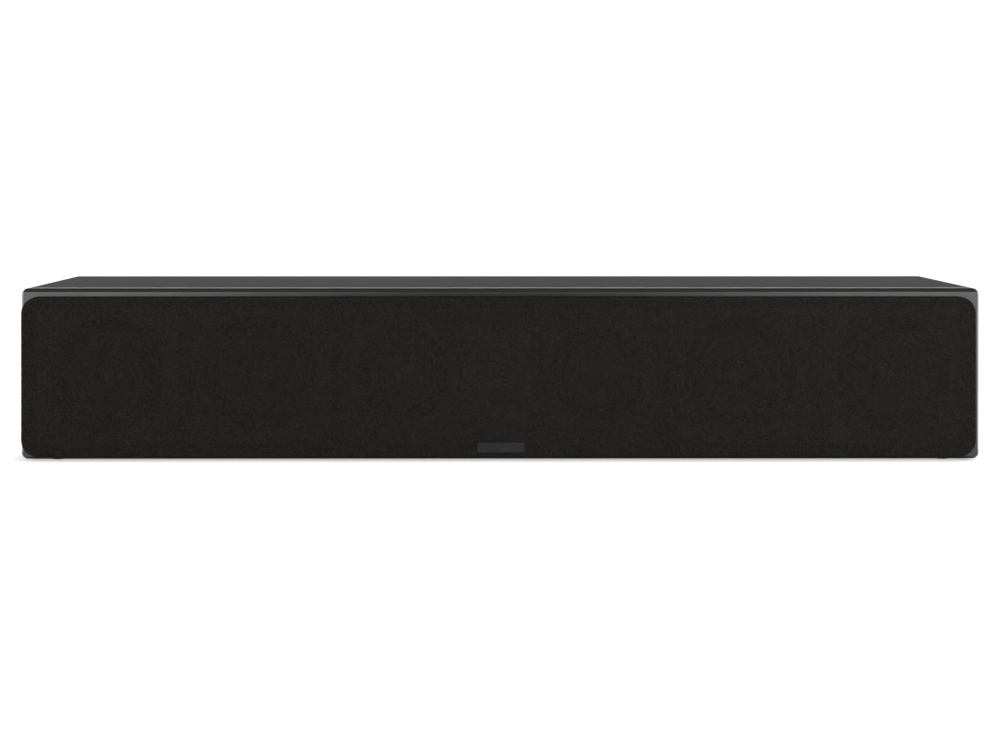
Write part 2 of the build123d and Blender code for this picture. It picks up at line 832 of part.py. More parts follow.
# Crossover board on pillars, with its coils and capacitors soldered on
board_z = foot_height + panel_thickness + board_standoff
board_y = sleeve_y + board_behind_baffle + board_depth / 2
with BuildPart() as crossover_board:
    with BuildSketch(Plane(origin=(0, board_y, board_z))):
        Rectangle(board_width, board_depth)
    extrude(amount=board_thickness)
    with BuildSketch(Plane(origin=(0, board_y, board_z))):
        with GridLocations(board_width - 2 * board_margin, board_depth - 2 * board_margin, 2, 2):
            Circle(standoff_diameter / 2)
    extrude(amount=-board_standoff)
    with BuildSketch(Plane(origin=(0, board_y + component_row_offset, board_z + board_thickness))):
        with GridLocations(coil_spacing, 0, coil_count, 1):
            Circle(coil_outer_diameter / 2)
            Circle(coil_inner_diameter / 2, mode=Mode.SUBTRACT)
    extrude(amount=coil_height)
    capacitor_z = board_z + board_thickness / 2 + capacitor_diameter / 2
    for i in range(capacitor_count):
        start_x = (i - capacitor_count / 2 + 0.5) * capacitor_spacing - capacitor_length / 2
        with BuildSketch(
            Plane(
                origin=(start_x, board_y - component_row_offset, capacitor_z),
                x_dir=(0, 1, 0),
                z_dir=(1, 0, 0),
            )
        ):
            Circle(capacitor_diameter / 2)
        extrude(amount=capacitor_length)
save(crossover_board, "crossover_board")

# Grille: rails with uprights glued between them, cloth over their front with its rim turned back,
# magnets and a bare badge plate
frame_width = grille_width - 2 * cloth_thickness
frame_height = grille_height - 2 * cloth_thickness
frame_corner = grille_corner_radius - cloth_thickness
upright_height = frame_height - 2 * grille_rail
window_stops = [-frame_width / 2 + grille_rail - grille_bar / 2]
window_stops += [x - grille_x for x in bar_places]
window_stops += [frame_width / 2 - grille_rail + grille_bar / 2]
with BuildPart() as grille_frame:
    with BuildSketch(upright(face_y, grille_x, grille_z)):
        RectangleRounded(frame_width, frame_height, frame_corner)
    extrude(amount=grille_frame_thickness)
    front_edges = grille_frame.faces().sort_by(Axis.Y)[0].edges()
    fillet(front_edges, grille_edge_round)
    with BuildSketch(upright(face_y, grille_x, grille_z)):
        for left, right in zip(window_stops, window_stops[1:]):
            with Locations(((left + right) / 2, 0)):
                Rectangle(right - left - grille_bar, upright_height)
        with Locations((0, -upright_height / 2), (0, upright_height / 2)):
            Rectangle(grille_width, glue_gap)
    extrude(amount=grille_frame_thickness, mode=Mode.SUBTRACT)
    with BuildSketch(upright(face_y, grille_x, grille_z)):
        with Locations(*[(x - grille_x, z) for x, z in magnet_places]):
            Circle(magnet_diameter / 2 + magnet_clearance)
    extrude(amount=magnet_thickness, mode=Mode.SUBTRACT)
save(grille_frame, "grille_frame")

with BuildPart() as grille_cloth:
    with BuildSketch(upright(face_y - grille_thickness + cloth_rim, grille_x, grille_z)):
        RectangleRounded(grille_width, grille_height, grille_corner_radius)
    extrude(amount=cloth_rim)
    front_edges = grille_cloth.faces().sort_by(Axis.Y)[0].edges()
    fillet(front_edges, grille_edge_round + cloth_thickness)
    back = grille_cloth.faces().sort_by(Axis.Y)[-1]
    offset(amount=-cloth_thickness, openings=back)
save(grille_cloth, "grille_cloth")

with BuildPart() as grille_magnets:
    with BuildSketch(upright(face_y, grille_x, grille_z)):
        with Locations(*[(x - grille_x, z) for x, z in magnet_places]):
            Circle(magnet_diameter / 2)
    extrude(amount=magnet_thickness)
save(grille_magnets, "grille_magnets")

with BuildPart() as baffle_magnets:
    with BuildSketch(upright(face_y + magnet_skin, 0, grille_z)):
        with Locations(*magnet_places):
            Circle(magnet_diameter / 2)
    extrude(amount=-magnet_thickness)
save(baffle_magnets, "baffle_magnets")

cloth_y = face_y - grille_thickness
with BuildPart() as badge_plate:
    with BuildSketch(upright(cloth_y, 0, foot_height + badge_above_bottom)):
        RectangleRounded(badge_width, badge_height, badge_corner_radius)
    extrude(amount=badge_thickness)
    with BuildSketch(upright(cloth_y - badge_thickness, 0, foot_height + badge_above_bottom)):
        RectangleRounded(
            badge_width - 2 * badge_rim, badge_height - 2 * badge_rim, badge_corner_radius - badge_rim
        )
    extrude(amount=-badge_recess, mode=Mode.SUBTRACT)
save(badge_plate, "badge_plate")

# Screws of the drivers, the tweeter and the terminal cup
front_seat = upright(face_y + screw_head_height)
rear_seat = Plane(origin=(0, back_y - screw_head_height, mid_z), x_dir=(-1, 0, 0), z_dir=(0, 1, 0))
with BuildPart() as wood_screws:
    for seat, places in ((front_seat, front_screws), (rear_seat, cup_screws)):
        with BuildSketch(seat):
            with Locations(*places):
                Circle(screw_head_diameter / 2)
        extrude(amount=screw_head_height)
        with BuildSketch(seat):
            with Locations(*places):
                Circle(screw_shank_diameter / 2)
        extrude(amount=-screw_length)
        with BuildSketch(seat.offset(screw_head_height)):
            with Locations(*places):
                RegularPolygon(screw_socket / 2, 6)
        extrude(amount=-screw_socket_depth, mode=Mode.SUBTRACT)
save(wood_screws, "wood_screws")
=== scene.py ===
"""Center channel speaker: finishes, grille cloth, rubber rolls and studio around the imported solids.

Lengths named in millimetres are turned to metres by MM. X runs along the cabinet, -Y is the front, Z is up.
"""
import json
from math import pi, radians

import bpy
import numpy as np
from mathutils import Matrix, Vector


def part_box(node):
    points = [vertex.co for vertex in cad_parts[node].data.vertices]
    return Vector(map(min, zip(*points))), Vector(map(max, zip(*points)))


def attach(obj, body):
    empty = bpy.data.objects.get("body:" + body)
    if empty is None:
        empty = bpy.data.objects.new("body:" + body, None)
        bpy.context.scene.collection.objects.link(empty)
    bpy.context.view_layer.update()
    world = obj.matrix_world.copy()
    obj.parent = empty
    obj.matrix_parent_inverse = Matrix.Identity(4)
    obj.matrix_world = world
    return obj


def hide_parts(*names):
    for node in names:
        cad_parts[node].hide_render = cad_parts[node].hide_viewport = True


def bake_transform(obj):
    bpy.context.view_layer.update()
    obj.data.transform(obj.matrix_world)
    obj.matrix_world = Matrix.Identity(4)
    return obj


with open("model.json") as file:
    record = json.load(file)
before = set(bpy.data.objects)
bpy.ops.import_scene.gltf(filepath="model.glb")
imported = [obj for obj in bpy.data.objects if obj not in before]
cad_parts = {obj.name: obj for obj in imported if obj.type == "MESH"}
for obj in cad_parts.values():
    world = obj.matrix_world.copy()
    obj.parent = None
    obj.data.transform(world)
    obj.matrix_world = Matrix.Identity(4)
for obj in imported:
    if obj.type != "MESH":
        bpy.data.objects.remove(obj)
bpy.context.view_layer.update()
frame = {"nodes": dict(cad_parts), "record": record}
nodes = frame["nodes"]

MM = 0.001

# Points nearer than this are merged where rings of a grid close up
weld_mm = 0.01

# Grille cloth
cloth_roll_mm = 1.8
cloth_thickness_mm = 0.45
cloth_stand_off_mm = 0.4
cloth_corner_mm = 18.5
cloth_long_steps = 120
cloth_short_steps = 20
cloth_corner_steps = 24
cloth_ring_steps = 14
cloth_roll_steps = 6
cloth_wall_steps = 4

# Rubber roll and spider of the drivers
driver_counts = {"woofer": 4, "mid": 2}
rubber_mm = 1.2
lip_mm = 4.0
roll_width_mm = {"woofer": 9.6, "mid": 7.6}
roll_steps = 20
turn_steps = 160
former_radius_mm = {"woofer": 13.0, "mid": 10.5}
spider_cloth_mm = 0.8
spider_wave_mm = 1.6
spider_waves = 3
spider_steps = 72
spider_rim_mm = 7.5

# Camera, fitted to the photograph's edges, with sensor and lens in Blender's millimetres
camera_place = (-0.019, -2.498, 0.309)
camera_turn = (radians(89.98), 0.0, radians(-0.217))
camera_sensor = 36.0
camera_lens = 77.455
camera_shift = (0.0085, -0.1945)

# Studio ground, in metres
floor_radius = 3.6
ground_curve = 0.4
wall_height = 1.1
ground_curve_steps = 8
ground_turn_steps = 96

# Glow of the ground, with a painted shadow in it near the cabinet: the oblong where the glow is least, how
# far it takes to rise, how much further out the rise starts for reflections, and its strengths
shaded_half = (0.515, 0.115, 0.0)
shaded_reach = 0.035
mirrored_reach = 0.04
painted_shadow_glow = 0.4
painted_shadow_glow_mirrored = 0.02
glow_most = 0.92

# Strength of the room's light, and the dark card in metres
room_light = 0.2
card_half_width = 0.56
card_height = 0.8
card_y = -2.7

# Lamps: place, the point that they shine at, width and height in metres, and watts
lamps = {
    "left panel": ((-1.15, -2.5, 0.235), (-1.15, 0, 0.235), (1.3, 0.45), 14.5),
    "right panel": ((1.15, -2.5, 0.235), (1.15, 0, 0.235), (1.3, 0.45), 14.5),
    "left softbox": ((-1.75, -1.45, 1.05), (0, -0.1, 0.1), (0.65, 0.65), 8),
    "right softbox": ((1.75, -1.45, 1.05), (0, -0.1, 0.1), (0.65, 0.65), 15),
    "overhead key": ((0.7, -1.4, 2.4), (0.4, -0.1, 0.1), (1.4, 1.0), 18),
}


def linear(colour):
    """An sRGB hex colour as linear RGBA, by the sRGB transfer curve."""
    value = np.array([int(colour[i:i + 2], 16) / 255 for i in (1, 3, 5)])
    rgb = np.where(value <= 0.04045, value / 12.92, ((value + 0.055) / 1.055) ** 2.4)
    return (*rgb.tolist(), 1.0)


def per_mm(size):
    """The texture scale that gives features of about this many millimetres on Object coordinates."""
    return 1.0 / (size * MM)


def bands(size):
    """The Wave texture scale whose bands repeat every this many millimetres: its period is 2 pi / 20."""
    return 2 * pi / 20 / (size * MM)


def add(tree, kind, inputs=(), stops=(), **settings):
    """Adds a node and gives it back.

    Settings are its properties, inputs its sockets by name or number, as values or as sockets to link from,
    and stops a colour ramp's positions with their hex colours."""
    made = tree.nodes.new("ShaderNode" + kind)
    for key, value in settings.items():
        setattr(made, key, value)
    for key, value in dict(inputs).items():
        if isinstance(value, bpy.types.NodeSocket):
            tree.links.new(value, made.inputs[key])
        else:
            made.inputs[key].default_value = value
    for number, (position, colour) in enumerate(stops):
        made.color_ramp.elements[number].position = position
        made.color_ramp.elements[number].color = linear(colour)
    return made


def blank(name):
    """A new material, its empty tree and its Object coordinates."""
    material = bpy.data.materials.new(name)
    material.use_nodes = True
    material.node_tree.nodes.clear()
    place = add(material.node_tree, "TexCoord").outputs["Object"]
    return material, material.node_tree, place


# Grain that is really finer than half a millimetre, as on plating, moulded skins and brushed metal, is drawn
# 0.6 to 0.8 mm wide in the finishes that follow, so that it shows.


def satin_black_lacquer():
    """Black lacquer sprayed on fibreboard and rubbed to a satin.

    It has almost no colour of its own: the eye sees soft reflections, with a faint orange peel in them."""
    material, tree, place = blank("satin black lacquer")
    peel_mm = 2.2
    rubbing_mm = 25.0
    peel = add(tree, "TexNoise", {"Vector": place, "Scale": per_mm(peel_mm), "Detail": 2.0}).outputs["Fac"]
    rubbing = add(
        tree, "TexNoise", {"Vector": place, "Scale": per_mm(rubbing_mm), "Detail": 4.0}
    ).outputs["Fac"]
    colour = add(tree, "ValToRGB", {"Fac": rubbing}, ((0.3, "#0b0b0b"), (0.7, "#0f0f0f")))
    rough = add(
        tree, "MapRange",
        {"Value": rubbing, "From Min": 0.3, "From Max": 0.7, "To Min": 0.29, "To Max": 0.32},
    )
    bump = add(tree, "Bump", {"Height": peel, "Strength": 0.05, "Distance": 0.1 * MM})
    lacquer = add(tree, "BsdfPrincipled", {
        "Base Color": colour.outputs["Color"],
        "Roughness": rough.outputs["Result"],
        "Specular IOR Level": 0.42,
        "Normal": bump.outputs["Normal"],
    })
    add(tree, "OutputMaterial", {"Surface": lacquer.outputs[0]})
    return material


def satin_painted_sleeve():
    """Black paint rolled on the sleeve's panels: duller than the lacquer, with a fine even stipple."""
    material, tree, place = blank("satin painted sleeve")
    stipple_mm = 1.6
    stipple = add(
        tree, "TexNoise", {"Vector": place, "Scale": per_mm(stipple_mm), "Detail": 3.0}
    ).outputs["Fac"]
    colour = add(tree, "ValToRGB", {"Fac": stipple}, ((0.3, "#101010"), (0.7, "#161616")))
    bump = add(tree, "Bump", {"Height": stipple, "Strength": 0.12, "Distance": 0.1 * MM})
    paint = add(tree, "BsdfPrincipled", {
        "Base Color": colour.outputs["Color"],
        "Roughness": 0.54,
        "Specular IOR Level": 0.36,
        "Normal": bump.outputs["Normal"],
    })
    add(tree, "OutputMaterial", {"Surface": paint.outputs[0]})
    return material


def vinyl_faced_board():
    """Black vinyl pressed on board with a fine pebble grain, which makes it duller than the lacquer."""
    material, tree, place = blank("black vinyl-faced board")
    pebble_mm = 1.1
    pebble = add(
        tree, "TexVoronoi", {"Vector": place, "Scale": per_mm(pebble_mm)}, feature="SMOOTH_F1"
    ).outputs["Distance"]
    colour = add(tree, "ValToRGB", {"Fac": pebble}, ((0.1, "#121212"), (0.8, "#1d1d1d")))
    bump = add(tree, "Bump", {"Height": pebble, "Strength": 0.4, "Distance": 0.15 * MM})
    vinyl = add(tree, "BsdfPrincipled", {
        "Base Color": colour.outputs["Color"],
        "Roughness": 0.56,
        "Normal": bump.outputs["Normal"],
    })
    add(tree, "OutputMaterial", {"Surface": vinyl.outputs[0]})
    return material


def bare_fibreboard():
    """Sawn medium-density fibreboard: pale brown, a felted mix of light and dark fibres."""
    material, tree, place = blank("bare fibreboard")
    felt_mm = 1.5
    felt = add(tree, "TexNoise", {"Vector": place, "Scale": per_mm(felt_mm), "Detail": 6.0}).outputs["Fac"]
    colour = add(tree, "ValToRGB", {"Fac": felt}, ((0.3, "#7d5f40"), (0.7, "#a5835b")))
    bump = add(tree, "Bump", {"Height": felt, "Strength": 0.3, "Distance": 0.2 * MM})
    board = add(tree, "BsdfPrincipled", {
        "Base Color": colour.outputs["Color"],
        "Roughness": 0.85,
        "Normal": bump.outputs["Normal"],
    })
    add(tree, "OutputMaterial", {"Surface": board.outputs[0]})
    return material


def moulded_rubber(name, dark, light, roughness):
    """Moulded black rubber: dull, with a grey bloom in soft patches and a fine skin."""
    material, tree, place = blank(name)
    bloom_mm = 9.0
    skin_mm = 0.6
    bloom = add(tree, "TexNoise", {"Vector": place, "Scale": per_mm(bloom_mm), "Detail": 4.0}).outputs["Fac"]
    skin = add(tree, "TexNoise", {"Vector": place, "Scale": per_mm(skin_mm), "Detail": 1.0}).outputs["Fac"]
    colour = add(tree, "ValToRGB", {"Fac": bloom}, ((0.3, dark), (0.7, light)))
    bump = add(tree, "Bump", {"Height": skin, "Strength": 0.15, "Distance": 0.08 * MM})
    rubber = add(tree, "BsdfPrincipled", {
        "Base Color": colour.outputs["Color"],
        "Roughness": roughness,
        "Specular IOR Level": 0.2,
        "Normal": bump.outputs["Normal"],
    })
    add(tree, "OutputMaterial", {"Surface": rubber.outputs[0]})
    return material


def powder_coated_casting():
    """Cast aluminium under black powder coat: an even sand-like grain with a soft gloss."""
    material, tree, place = blank("powder-coated casting")
    grit_mm = 0.7
    grit = add(tree, "TexNoise", {"Vector": place, "Scale": per_mm(grit_mm), "Detail": 2.0}).outputs["Fac"]
    colour = add(tree, "ValToRGB", {"Fac": grit}, ((0.35, "#151617"), (0.65, "#222325")))
    bump = add(tree, "Bump", {"Height": grit, "Strength": 0.3, "Distance": 0.1 * MM})
    powder = add(tree, "BsdfPrincipled", {
        "Base Color": colour.outputs["Color"],
        "Roughness": 0.48,
        "Normal": bump.outputs["Normal"],
    })
    add(tree, "OutputMaterial", {"Surface": powder.outputs[0]})
    return material


def plated_metal(name, dark, light, roughness):
    """Turned and plated metal: bright, with fine tool marks that break up its reflections."""
    material, tree, place = blank(name)
    marks_mm = 0.7
    marks = add(tree, "TexNoise", {"Vector": place, "Scale": per_mm(marks_mm), "Detail": 3.0}).outputs["Fac"]
    colour = add(tree, "ValToRGB", {"Fac": marks}, ((0.3, dark), (0.7, light)))
    bump = add(tree, "Bump", {"Height": marks, "Strength": 0.06, "Distance": 0.05 * MM})
    plating = add(tree, "BsdfPrincipled", {
        "Base Color": colour.outputs["Color"],
        "Metallic": 1.0,
        "Roughness": roughness,
        "Normal": bump.outputs["Normal"],
    })
    add(tree, "OutputMaterial", {"Surface": plating.outputs[0]})
    return material


def woven_fibre():
    """Plain-woven fibre set in clear resin: yarns cross over and under, each with its own soft gloss."""
    material, tree, place = blank("woven fibre cone")
    yarn_mm = 2.4
    diagonal = add(
        tree, "Mapping", {"Vector": place, "Rotation": (0.0, radians(45), 0.0)}
    ).outputs["Vector"]
    warp = add(tree, "TexWave", {"Vector": diagonal, "Scale": bands(yarn_mm)}, bands_direction="X")
    weft = add(tree, "TexWave", {"Vector": diagonal, "Scale": bands(yarn_mm)}, bands_direction="Z")
    over = add(tree, "TexChecker", {"Vector": diagonal, "Scale": per_mm(yarn_mm)})
    yarn = add(
        tree, "Mix",
        {"Factor": over.outputs["Fac"], "A": warp.outputs["Fac"], "B": weft.outputs["Fac"]},
    ).outputs["Result"]
    colour = add(tree, "ValToRGB", {"Fac": yarn}, ((0.1, "#0d0d0e"), (0.9, "#28292d")))
    bump = add(tree, "Bump", {"Height": yarn, "Strength": 0.5, "Distance": 0.25 * MM})
    fibre = add(tree, "BsdfPrincipled", {
        "Base Color": colour.outputs["Color"],
        "Roughness": 0.5,
        "Normal": bump.outputs["Normal"],
    })
    add(tree, "OutputMaterial", {"Surface": fibre.outputs[0]})
    return material


def gloss_lacquered_cap():
    """Pressed cap under clear gloss lacquer: small sharp highlights on black."""
    material, tree, place = blank("gloss lacquered cap")
    ripple_mm = 5.0
    ripple = add(
        tree, "TexNoise", {"Vector": place, "Scale": per_mm(ripple_mm), "Detail": 2.0}
    ).outputs["Fac"]
    colour = add(tree, "ValToRGB", {"Fac": ripple}, ((0.3, "#0c0c0d"), (0.7, "#111112")))
    bump = add(tree, "Bump", {"Height": ripple, "Strength": 0.04, "Distance": 0.2 * MM})
    cap = add(tree, "BsdfPrincipled", {
        "Base Color": colour.outputs["Color"],
        "Roughness": 0.16,
        "Coat Weight": 1.0,
        "Coat Roughness": 0.08,
        "Normal": bump.outputs["Normal"],
    })
    add(tree, "OutputMaterial", {"Surface": cap.outputs[0]})
    return material


def resin_dipped_cloth():
    """Cotton cloth dipped in resin and pressed into waves: brown-yellow with a tight weave."""
    material, tree, place = blank("resin-dipped spider cloth")
    thread_mm = 0.8
    warp = add(tree, "TexWave", {"Vector": place, "Scale": bands(thread_mm)}, bands_direction="X")
    weft = add(tree, "TexWave", {"Vector": place, "Scale": bands(thread_mm)}, bands_direction="Z")
    weave = add(
        tree, "Math", {0: warp.outputs["Fac"], 1: weft.outputs["Fac"]}, operation="MULTIPLY"
    ).outputs["Value"]
    colour = add(tree, "ValToRGB", {"Fac": weave}, ((0.1, "#6f4f24"), (0.9, "#a8813f")))
    bump = add(tree, "Bump", {"Height": weave, "Strength": 0.4, "Distance": 0.15 * MM})
    cloth = add(tree, "BsdfPrincipled", {
        "Base Color": colour.outputs["Color"],
        "Roughness": 0.7,
        "Normal": bump.outputs["Normal"],
    })
    add(tree, "OutputMaterial", {"Surface": cloth.outputs[0]})
    return material


def moulded_plastic(name, roughness):
    """Moulded black ABS with a spark-eroded grain: dull, with tiny glints."""
    material, tree, place = blank(name)
    grain_mm = 0.8
    grain = add(tree, "TexNoise", {"Vector": place, "Scale": per_mm(grain_mm), "Detail": 3.0}).outputs["Fac"]
    colour = add(tree, "ValToRGB", {"Fac": grain}, ((0.35, "#121213"), (0.65, "#1b1b1c")))
    bump = add(tree, "Bump", {"Height": grain, "Strength": 0.22, "Distance": 0.08 * MM})
    plastic = add(tree, "BsdfPrincipled", {
        "Base Color": colour.outputs["Color"],
        "Roughness": roughness,
        "Normal": bump.outputs["Normal"],
    })
    add(tree, "OutputMaterial", {"Surface": plastic.outputs[0]})
    return material


def amber_film():
    """Amber polyimide film with aluminium tracks along its pleats: warm and smooth, with pale metal lines.

    There is one track to each flank of the pleats."""
    material, tree, place = blank("amber film with tracks")
    film_height_mm = 32.0
    film_flanks = 18
    track_mm = film_height_mm / film_flanks
    track = add(tree, "TexWave", {"Vector": place, "Scale": bands(track_mm)}, bands_direction="Z")
    mask = add(
        tree, "MapRange",
        {"Value": track.outputs["Fac"], "From Min": 0.62, "From Max": 0.7, "To Min": 0.0, "To Max": 1.0},
    ).outputs["Result"]
    colour = add(tree, "ValToRGB", {"Fac": mask}, ((0.0, "#c8741c"), (1.0, "#c9a87c")))
    film = add(tree, "BsdfPrincipled", {
        "Base Color": colour.outputs["Color"],
        "Metallic": mask,
        "Roughness": 0.28,
    })
    add(tree, "OutputMaterial", {"Surface": film.outputs[0]})
    return material


def tinted_polycarbonate(name, dark, light):
    """Tinted polycarbonate of the screw caps: deep colour under a clear moulded gloss."""
    material, tree, place = blank(name)
    cloud_mm = 4.0
    cloud = add(tree, "TexNoise", {"Vector": place, "Scale": per_mm(cloud_mm), "Detail": 2.0}).outputs["Fac"]
    colour = add(tree, "ValToRGB", {"Fac": cloud}, ((0.3, dark), (0.7, light)))
    plastic = add(tree, "BsdfPrincipled", {
        "Base Color": colour.outputs["Color"],
        "Roughness": 0.28,
        "Coat Weight": 0.4,
        "Coat Roughness": 0.12,
    })
    add(tree, "OutputMaterial", {"Surface": plastic.outputs[0]})
    return material


def crossover_board():
    """Glass-cloth board under green solder mask, and the copper look of wound wire on what stands on it.

    The copper starts just above the board, at a height over the feet of its pillars."""
    material, tree, place = blank("crossover board")
    copper_height_mm = 8.0
    wire_mm = 1.2
    cloth_mm = 3.0
    copper_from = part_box("crossover_board")[0].z + copper_height_mm * MM
    height = add(tree, "SeparateXYZ", {"Vector": place}).outputs["Z"]
    above = add(tree, "Math", {0: height, 1: copper_from}, operation="GREATER_THAN").outputs["Value"]
    wire = add(tree, "TexWave", {"Vector": place, "Scale": bands(wire_mm)}, bands_direction="Z")
    copper = add(tree, "ValToRGB", {"Fac": wire.outputs["Fac"]}, ((0.2, "#6d3b1c"), (0.8, "#b8713d")))
    cloth = add(tree, "TexNoise", {"Vector": place, "Scale": per_mm(cloth_mm)})
    green = add(tree, "ValToRGB", {"Fac": cloth.outputs["Fac"]}, ((0.4, "#123d22"), (0.6, "#1b5530")))
    colour = add(
        tree, "MixRGB", {"Fac": above, "Color1": green.outputs["Color"], "Color2": copper.outputs["Color"]}
    )
    board = add(tree, "BsdfPrincipled", {"Base Color": colour.outputs["Color"], "Roughness": 0.4})
    add(tree, "OutputMaterial", {"Surface": board.outputs[0]})
    return material


def painted_frame_board():
    """Fibreboard of the grille frame under one thin coat of matt black paint: fibres show through as fuzz."""
    material, tree, place = blank("matt painted board")
    fibre_mm = 1.2
    fibre = add(tree, "TexNoise", {"Vector": place, "Scale": per_mm(fibre_mm), "Detail": 5.0}).outputs["Fac"]
    colour = add(tree, "ValToRGB", {"Fac": fibre}, ((0.3, "#0a0a0a"), (0.7, "#100f0f")))
    bump = add(tree, "Bump", {"Height": fibre, "Strength": 0.3, "Distance": 0.15 * MM})
    paint = add(tree, "BsdfPrincipled", {
        "Base Color": colour.outputs["Color"],
        "Roughness": 0.9,
        "Specular IOR Level": 0.15,
        "Normal": bump.outputs["Normal"],
    })
    add(tree, "OutputMaterial", {"Surface": paint.outputs[0]})
    return material


def knitted_cloth():
    """Knitted black polyester stretched on the frame: matt yarn with a fine speckle, and pinholes between its
    loops that let the drivers show faintly.

    Real loops are about 0.6 mm apart. Pinholes and speckle are drawn wider apart, so that they show."""
    material, tree, place = blank("knitted grille cloth")
    hole_mm = 0.8
    fuzz_mm = 1.7
    hole = add(tree, "TexVoronoi", {"Vector": place, "Scale": per_mm(hole_mm)}).outputs["Distance"]
    fuzz = add(tree, "TexNoise", {"Vector": place, "Scale": per_mm(fuzz_mm), "Detail": 2.0}).outputs["Fac"]
    colour = add(tree, "ValToRGB", {"Fac": fuzz}, ((0.3, "#0d0c0b"), (0.7, "#292522")))
    bump = add(tree, "Bump", {"Height": fuzz, "Strength": 0.75, "Distance": 0.35 * MM})
    cover = add(
        tree, "MapRange",
        {"Value": hole, "From Min": 0.46, "From Max": 0.47, "To Min": 0.0, "To Max": 1.0},
    )
    cloth = add(tree, "BsdfPrincipled", {
        "Base Color": colour.outputs["Color"],
        "Roughness": 0.9,
        "Specular IOR Level": 0.2,
        "Alpha": cover.outputs["Result"],
        "Normal": bump.outputs["Normal"],
    })
    add(tree, "OutputMaterial", {"Surface": cloth.outputs[0]})
    return material


def brushed_plate():
    """Dark anodised aluminium, brushed along its length: a cool grey with fine streaks."""
    material, tree, place = blank("dark brushed aluminium")
    streak_mm = 0.6
    streak_ratio = 20
    along = add(tree, "Mapping", {"Vector": place, "Scale": (1 / streak_ratio, 1.0, 1.0)}).outputs["Vector"]
    brush = add(tree, "TexNoise", {"Vector": along, "Scale": per_mm(streak_mm), "Detail": 3.0}).outputs["Fac"]
    colour = add(tree, "ValToRGB", {"Fac": brush}, ((0.3, "#202123"), (0.7, "#2c2e30")))
    bump = add(tree, "Bump", {"Height": brush, "Strength": 0.15, "Distance": 0.05 * MM})
    metal = add(tree, "BsdfPrincipled", {
        "Base Color": colour.outputs["Color"],
        "Metallic": 1.0,
        "Roughness": 0.42,
        "Normal": bump.outputs["Normal"],
    })
    add(tree, "OutputMaterial", {"Surface": metal.outputs[0]})
    return material


finishes = {
    "satin_black_lacquer": satin_black_lacquer(),
    "satin_black_sleeve": satin_painted_sleeve(),
    "black_rear_board": vinyl_faced_board(),
    "bare_fibreboard": bare_fibreboard(),
    "black_rubber": moulded_rubber("rubber foot", "#121212", "#1c1c1c", roughness=0.8),
    "driver_basket": powder_coated_casting(),
    "magnet_steel": plated_metal("zinc-plated steel", "#8b8f93", "#a6aaae", roughness=0.34),
    "woven_cone": woven_fibre(),
    "gloss_dust_cap": gloss_lacquered_cap(),
    "surround_rubber": moulded_rubber("roll rubber", "#0a0a0a", "#101010", roughness=0.8),
    "spider_cloth": resin_dipped_cloth(),
    "tweeter_plate": moulded_plastic("satin moulded plate", roughness=0.42),
    "amber_film": amber_film(),
    "black_abs": moulded_plastic("moulded black ABS", roughness=0.5),
    "plated_brass": plated_metal("gold-plated brass", "#b98f3c", "#d9b765", roughness=0.22),
    "red_cap": tinted_polycarbonate("red screw cap", "#7c0d10", "#9e1518"),
    "black_cap": tinted_polycarbonate("black screw cap", "#0f0f10", "#171718"),
    "circuit_board": crossover_board(),
    "grille_board": painted_frame_board(),
    "grille_cloth": knitted_cloth(),
    "plated_magnet": plated_metal("nickel-plated magnet", "#a9acae", "#c4c7c9", roughness=0.22),
    "badge_metal": brushed_plate(),
    "black_screw": plated_metal("black oxide screw", "#1b1b1c", "#2b2b2d", roughness=0.4),
}
for row in frame["record"]["subparts"]:
    mesh = nodes[row["node"]].data
    mesh.materials.clear()
    mesh.materials.append(finishes[row["material_slot"]])


def grid_mesh(name, points, close_loop=True, close_across=False):
    """A quad mesh over a grid of points [loop, across, xyz], closed round the loop or across it as asked.

    The face between steps (i, j) and (i + 1, j + 1) has those four corners."""
    loops, across = points.shape[:2]
    number = np.arange(loops * across).reshape(loops, across)
    if close_loop:
        number = np.concatenate([number, number[:1]])
    if close_across:
        number = np.concatenate([number, number[:, :1]], axis=1)
    here, after = number[:-1], number[1:]
    faces = np.stack([here[:, :-1], here[:, 1:], after[:, 1:], after[:, :-1]], axis=-1)
    mesh = bpy.data.meshes.new(name)
    mesh.from_pydata(points.reshape(-1, 3), [], faces.reshape(-1, 4).tolist())
    mesh.shade_smooth()
    piece = bpy.data.objects.new(name, mesh)
    bpy.context.scene.collection.objects.link(piece)
    return piece


def dress(piece, slot):
    """Gives a piece the finish of a slot of the record."""
    piece.data.materials.append(finishes[slot])


def modify(piece, kind, **settings):
    """Adds a modifier with these settings."""
    made = piece.modifiers.new(kind.lower(), kind)
    for key, value in settings.items():
        setattr(made, key, value)


def middle(low, high):
    """The middle of a box along X and Z."""
    return (low.x + high.x) / 2, (low.z + high.z) / 2


def rounded_outline(half_x, half_z, corner):
    """Points and outward normals round a rounded rectangle, from the middle of its right side.

    Each point is p = c + r n. The normal n turns a quarter at each corner, while the point c runs along the
    sides of the rectangle between the corners' middles. The upper and lower half have the same steps."""
    quarter = np.array([0, 0, 1, 1, 2, 2, 3, 3, 4, 4])
    side_x = np.array([1, 1, 1, -1, -1, -1, -1, 1, 1, 1])
    side_z = np.array([0, 1, 1, 1, 1, -1, -1, -1, -1, 0])
    counts = np.array([cloth_short_steps / 2, cloth_corner_steps, cloth_long_steps, cloth_corner_steps])
    counts = np.concatenate([counts, [cloth_short_steps], counts[:0:-1], counts[:1]])
    stops = np.concatenate([[0], np.cumsum(counts)])
    step = np.arange(stops[-1])
    turn = np.interp(step, stops, quarter * pi / 2)
    normal = np.stack([np.cos(turn), np.sin(turn)], axis=-1)
    core_x = np.interp(step, stops, side_x * (half_x - corner))
    core_z = np.interp(step, stops, side_z * (half_z - corner))
    return np.stack([core_x, core_z], axis=-1) + corner * normal, normal


